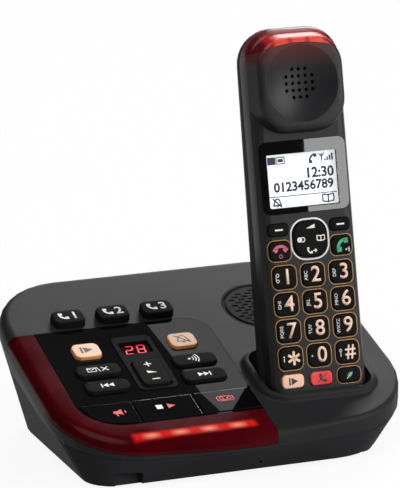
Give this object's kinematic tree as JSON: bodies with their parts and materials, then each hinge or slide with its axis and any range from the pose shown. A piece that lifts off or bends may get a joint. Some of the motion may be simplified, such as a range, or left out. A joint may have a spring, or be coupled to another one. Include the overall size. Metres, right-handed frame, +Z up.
{
  "type": "cordless telephone with answering base",
  "caption": "Cordless telephone: a sloped answering base with control panel, speaker grille and cradle, and an upright handset with big dial keys, display and dished earpiece.",
  "frame": {"origin": "on the floor under the middle of the whole object's box, which is the middle of the base", "axes": "+Z up, the front with the control panel and the keypad faces -Y, +X to the right as seen from the front, handset on the right"},
  "size_m": [0.1706, 0.136, 0.189],
  "materials": {
    "charcoal_case": "fine matte moulding",
    "dark_case": "fine matte moulding",
    "panel_gloss": "polished",
    "red_lens": "polished, translucent in the real thing",
    "key_black": "satin",
    "peach_key": "satin",
    "red_key": "satin",
    "counter_glass": "smoked window over a red digit counter",
    "window_clear": "clear moulded window",
    "lcd": "backlit display",
    "speaker_metal": "painted",
    "board": "solder mask",
    "mat_rubber": "soft",
    "foot_rubber": "soft",
    "screw_steel": "plated",
    "contact_metal": "plated spring metal",
    "cell_sleeve": "shrink sleeve"
  },
  "bodies": {
    "base": {"base_lower_case": "dark_case", "base_upper_case": "charcoal_case", "control_panel": "panel_gloss", "counter_bezel": "charcoal_case", "counter_display": "counter_glass", "ringer_light_lens": "red_lens", "speaker_grille": "dark_case", "base_speaker": "speaker_metal", "base_circuit_board": "board", "base_key_mat": "mat_rubber", "base_screws": "screw_steel", "base_feet": "foot_rubber", "line_socket": "dark_case", "power_socket": "dark_case", "charge_contacts": "contact_metal"},
    "handset": {"handset_front_case": "charcoal_case", "handset_rear_case": "dark_case", "handset_light_lens": "red_lens", "display_window": "window_clear", "lcd_module": "lcd", "handset_circuit_board": "board", "handset_key_mat": "mat_rubber", "earpiece_receiver": "speaker_metal", "battery_cells": "cell_sleeve", "handset_charge_plates": "contact_metal", "handset_screws": "screw_steel"},
    "battery_cover": {"battery_cover": "dark_case"},
    "memory_key_1": {"memory_key_1": "key_black"},
    "memory_key_2": {"memory_key_2": "key_black"},
    "memory_key_3": {"memory_key_3": "key_black"},
    "slow_key": {"slow_key": "peach_key"},
    "ringer_off_key": {"ringer_off_key": "peach_key"},
    "erase_key": {"erase_key": "key_black"},
    "repeat_key": {"repeat_key": "key_black"},
    "locator_key": {"locator_key": "key_black"},
    "skip_key": {"skip_key": "key_black"},
    "greeting_key": {"greeting_key": "panel_gloss"},
    "play_stop_key": {"play_stop_key": "panel_gloss"},
    "answer_on_key": {"answer_on_key": "panel_gloss"},
    "volume_rocker": {"volume_rocker": "key_black"},
    "dial_key_1": {"dial_key_1": "key_black"},
    "dial_key_2": {"dial_key_2": "key_black"},
    "dial_key_3": {"dial_key_3": "key_black"},
    "dial_key_4": {"dial_key_4": "key_black"},
    "dial_key_5": {"dial_key_5": "key_black"},
    "dial_key_6": {"dial_key_6": "key_black"},
    "dial_key_7": {"dial_key_7": "key_black"},
    "dial_key_8": {"dial_key_8": "key_black"},
    "dial_key_9": {"dial_key_9": "key_black"},
    "dial_key_star": {"dial_key_star": "key_black"},
    "dial_key_0": {"dial_key_0": "key_black"},
    "dial_key_hash": {"dial_key_hash": "key_black"},
    "handset_slow_key": {"handset_slow_key": "peach_key"},
    "call_block_key": {"call_block_key": "red_key"},
    "eco_key": {"eco_key": "key_black"},
    "talk_key": {"talk_key": "key_black"},
    "off_key": {"off_key": "key_black"},
    "soft_key_left": {"soft_key_left": "key_black"},
    "soft_key_right": {"soft_key_right": "key_black"},
    "navigator_key": {"navigator_key": "key_black"}
  },
  "joints": [
    {"name": "handset_lift", "type": "slide", "parent": "base", "child": "handset", "axis": [0, 0.225, 0.9744], "range_m": [0, 0.12]},
    {"name": "battery_cover_off", "type": "slide", "parent": "handset", "child": "battery_cover", "axis": [0, 0.9744, -0.225], "range_m": [0, 0.012]},
    {"name": "memory_key_1_press", "type": "slide", "parent": "base", "child": "memory_key_1", "axis": [0, 0.2924, -0.9563], "range_m": [0, 0.0008], "stiffness_N_per_m": 400},
    {"name": "memory_key_2_press", "type": "slide", "parent": "base", "child": "memory_key_2", "axis": [0, 0.2924, -0.9563], "range_m": [0, 0.0008], "stiffness_N_per_m": 400},
    {"name": "memory_key_3_press", "type": "slide", "parent": "base", "child": "memory_key_3", "axis": [0, 0.2924, -0.9563], "range_m": [0, 0.0008], "stiffness_N_per_m": 400},
    {"name": "slow_key_press", "type": "slide", "parent": "base", "child": "slow_key", "axis": [0, 0.2924, -0.9563], "range_m": [0, 0.0008], "stiffness_N_per_m": 400},
    {"name": "ringer_off_key_press", "type": "slide", "parent": "base", "child": "ringer_off_key", "axis": [0, 0.2924, -0.9563], "range_m": [0, 0.0008], "stiffness_N_per_m": 400},
    {"name": "erase_key_press", "type": "slide", "parent": "base", "child": "erase_key", "axis": [0, 0.2924, -0.9563], "range_m": [0, 0.0008], "stiffness_N_per_m": 400},
    {"name": "repeat_key_press", "type": "slide", "parent": "base", "child": "repeat_key", "axis": [0, 0.2924, -0.9563], "range_m": [0, 0.0008], "stiffness_N_per_m": 400},
    {"name": "locator_key_press", "type": "slide", "parent": "base", "child": "locator_key", "axis": [0, 0.2924, -0.9563], "range_m": [0, 0.0008], "stiffness_N_per_m": 400},
    {"name": "skip_key_press", "type": "slide", "parent": "base", "child": "skip_key", "axis": [0, 0.2924, -0.9563], "range_m": [0, 0.0008], "stiffness_N_per_m": 400},
    {"name": "greeting_key_press", "type": "slide", "parent": "base", "child": "greeting_key", "axis": [0, 0.2924, -0.9563], "range_m": [0, 0.0008], "stiffness_N_per_m": 400},
    {"name": "play_stop_key_press", "type": "slide", "parent": "base", "child": "play_stop_key", "axis": [0, 0.2924, -0.9563], "range_m": [0, 0.0008], "stiffness_N_per_m": 400},
    {"name": "answer_on_key_press", "type": "slide", "parent": "base", "child": "answer_on_key", "axis": [0, 0.2924, -0.9563], "range_m": [0, 0.0008], "stiffness_N_per_m": 400},
    {"name": "volume_rocker_tilt", "type": "hinge", "parent": "base", "child": "volume_rocker", "pos_m": [-0.0299, -0.01423, 0.0333], "axis": [1, 0, 0], "range_deg": [-3, 3], "stiffness_Nm_per_rad": 0.3},
    {"name": "dial_key_1_press", "type": "slide", "parent": "handset", "child": "dial_key_1", "axis": [0, 0.9744, -0.225], "range_m": [0, 0.0008], "stiffness_N_per_m": 400},
    {"name": "dial_key_2_press", "type": "slide", "parent": "handset", "child": "dial_key_2", "axis": [0, 0.9744, -0.225], "range_m": [0, 0.0008], "stiffness_N_per_m": 400},
    {"name": "dial_key_3_press", "type": "slide", "parent": "handset", "child": "dial_key_3", "axis": [0, 0.9744, -0.225], "range_m": [0, 0.0008], "stiffness_N_per_m": 400},
    {"name": "dial_key_4_press", "type": "slide", "parent": "handset", "child": "dial_key_4", "axis": [0, 0.9744, -0.225], "range_m": [0, 0.0008], "stiffness_N_per_m": 400},
    {"name": "dial_key_5_press", "type": "slide", "parent": "handset", "child": "dial_key_5", "axis": [0, 0.9744, -0.225], "range_m": [0, 0.0008], "stiffness_N_per_m": 400},
    {"name": "dial_key_6_press", "type": "slide", "parent": "handset", "child": "dial_key_6", "axis": [0, 0.9744, -0.225], "range_m": [0, 0.0008], "stiffness_N_per_m": 400},
    {"name": "dial_key_7_press", "type": "slide", "parent": "handset", "child": "dial_key_7", "axis": [0, 0.9744, -0.225], "range_m": [0, 0.0008], "stiffness_N_per_m": 400},
    {"name": "dial_key_8_press", "type": "slide", "parent": "handset", "child": "dial_key_8", "axis": [0, 0.9744, -0.225], "range_m": [0, 0.0008], "stiffness_N_per_m": 400},
    {"name": "dial_key_9_press", "type": "slide", "parent": "handset", "child": "dial_key_9", "axis": [0, 0.9744, -0.225], "range_m": [0, 0.0008], "stiffness_N_per_m": 400},
    {"name": "dial_key_star_press", "type": "slide", "parent": "handset", "child": "dial_key_star", "axis": [0, 0.9744, -0.225], "range_m": [0, 0.0008], "stiffness_N_per_m": 400},
    {"name": "dial_key_0_press", "type": "slide", "parent": "handset", "child": "dial_key_0", "axis": [0, 0.9744, -0.225], "range_m": [0, 0.0008], "stiffness_N_per_m": 400},
    {"name": "dial_key_hash_press", "type": "slide", "parent": "handset", "child": "dial_key_hash", "axis": [0, 0.9744, -0.225], "range_m": [0, 0.0008], "stiffness_N_per_m": 400},
    {"name": "handset_slow_key_press", "type": "slide", "parent": "handset", "child": "handset_slow_key", "axis": [0, 0.9744, -0.225], "range_m": [0, 0.0008], "stiffness_N_per_m": 400},
    {"name": "call_block_key_press", "type": "slide", "parent": "handset", "child": "call_block_key", "axis": [0, 0.9744, -0.225], "range_m": [0, 0.0008], "stiffness_N_per_m": 400},
    {"name": "eco_key_press", "type": "slide", "parent": "handset", "child": "eco_key", "axis": [0, 0.9744, -0.225], "range_m": [0, 0.0008], "stiffness_N_per_m": 400},
    {"name": "talk_key_press", "type": "slide", "parent": "handset", "child": "talk_key", "axis": [0, 0.9744, -0.225], "range_m": [0, 0.0008], "stiffness_N_per_m": 400},
    {"name": "off_key_press", "type": "slide", "parent": "handset", "child": "off_key", "axis": [0, 0.9744, -0.225], "range_m": [0, 0.0008], "stiffness_N_per_m": 400},
    {"name": "soft_key_left_press", "type": "slide", "parent": "handset", "child": "soft_key_left", "axis": [0, 0.9744, -0.225], "range_m": [0, 0.0008], "stiffness_N_per_m": 400},
    {"name": "soft_key_right_press", "type": "slide", "parent": "handset", "child": "soft_key_right", "axis": [0, 0.9744, -0.225], "range_m": [0, 0.0008], "stiffness_N_per_m": 400},
    {"name": "navigator_key_tilt", "type": "hinge", "parent": "handset", "child": "navigator_key", "pos_m": [0.0428, -0.02324, 0.095], "axis": [1, 0, 0], "range_deg": [-2.5, 2.5], "stiffness_Nm_per_rad": 0.3}
  ]
}
